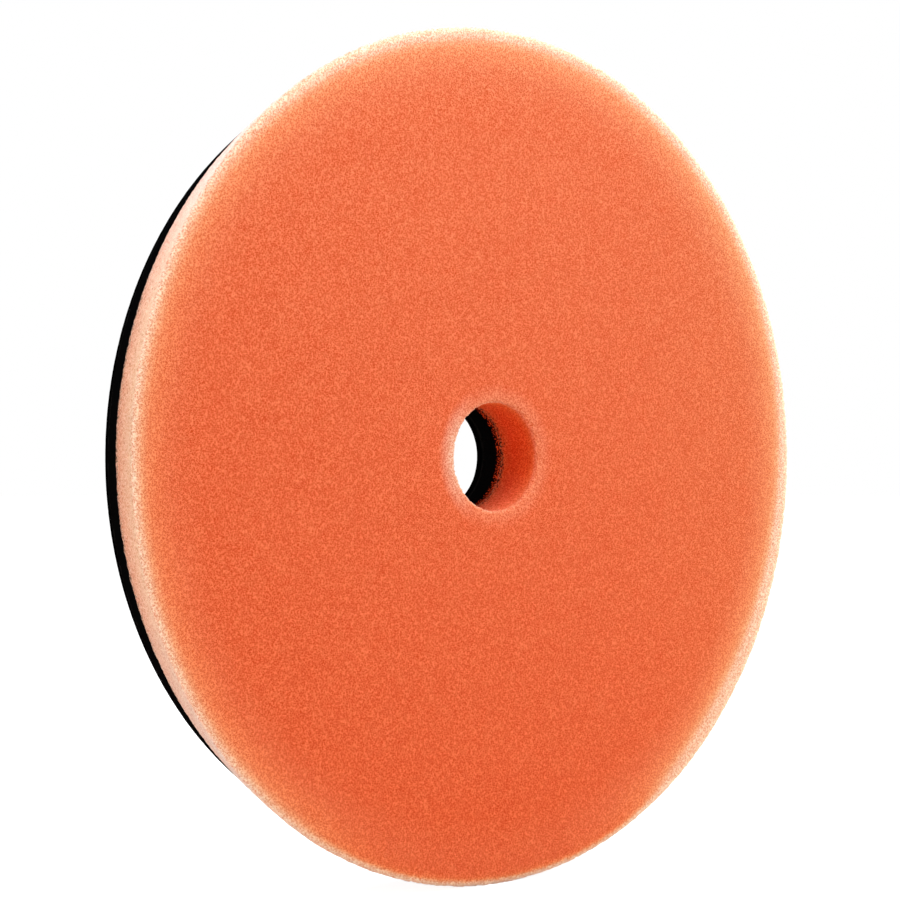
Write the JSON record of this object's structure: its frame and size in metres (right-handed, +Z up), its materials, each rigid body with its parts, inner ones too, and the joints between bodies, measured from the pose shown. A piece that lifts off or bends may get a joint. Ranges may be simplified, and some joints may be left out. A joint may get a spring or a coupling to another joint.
{
  "type": "polishing pad",
  "caption": "Round foam polishing pad with a soft polishing face, a firmer foam layer, a loop-cloth back and a centre hole, with a wall that tapers towards the back.",
  "frame": {"origin": "where the pad's axis crosses the mounting plane, which is the outer face of the loops; this is the rear end of the centre hole", "axes": "+Y along the pad's axis, out of the loop face; the working face looks towards -Y; +Z up, with the pad standing on its rim as on a wheel"},
  "size_m": [0.1648, 0.0185, 0.1648],
  "materials": {
    "polishing_foam": "matt open-cell polyurethane foam, salmon orange, fine grain",
    "bond_film": "thin dark hot-melt adhesive sheet",
    "interface_foam": "matt black close-grained polyurethane foam",
    "loop_cloth": "black warp-knitted nylon ground",
    "loop_pile": "black nylon loops with a faint sheen"
  },
  "bodies": {
    "root": {"polishing_foam": "polishing_foam", "foam_bond_film": "bond_film", "interface_foam": "interface_foam", "cloth_bond_film": "bond_film", "loop_cloth": "loop_cloth", "loop_pile": "loop_pile"}
  },
  "joints": []
}
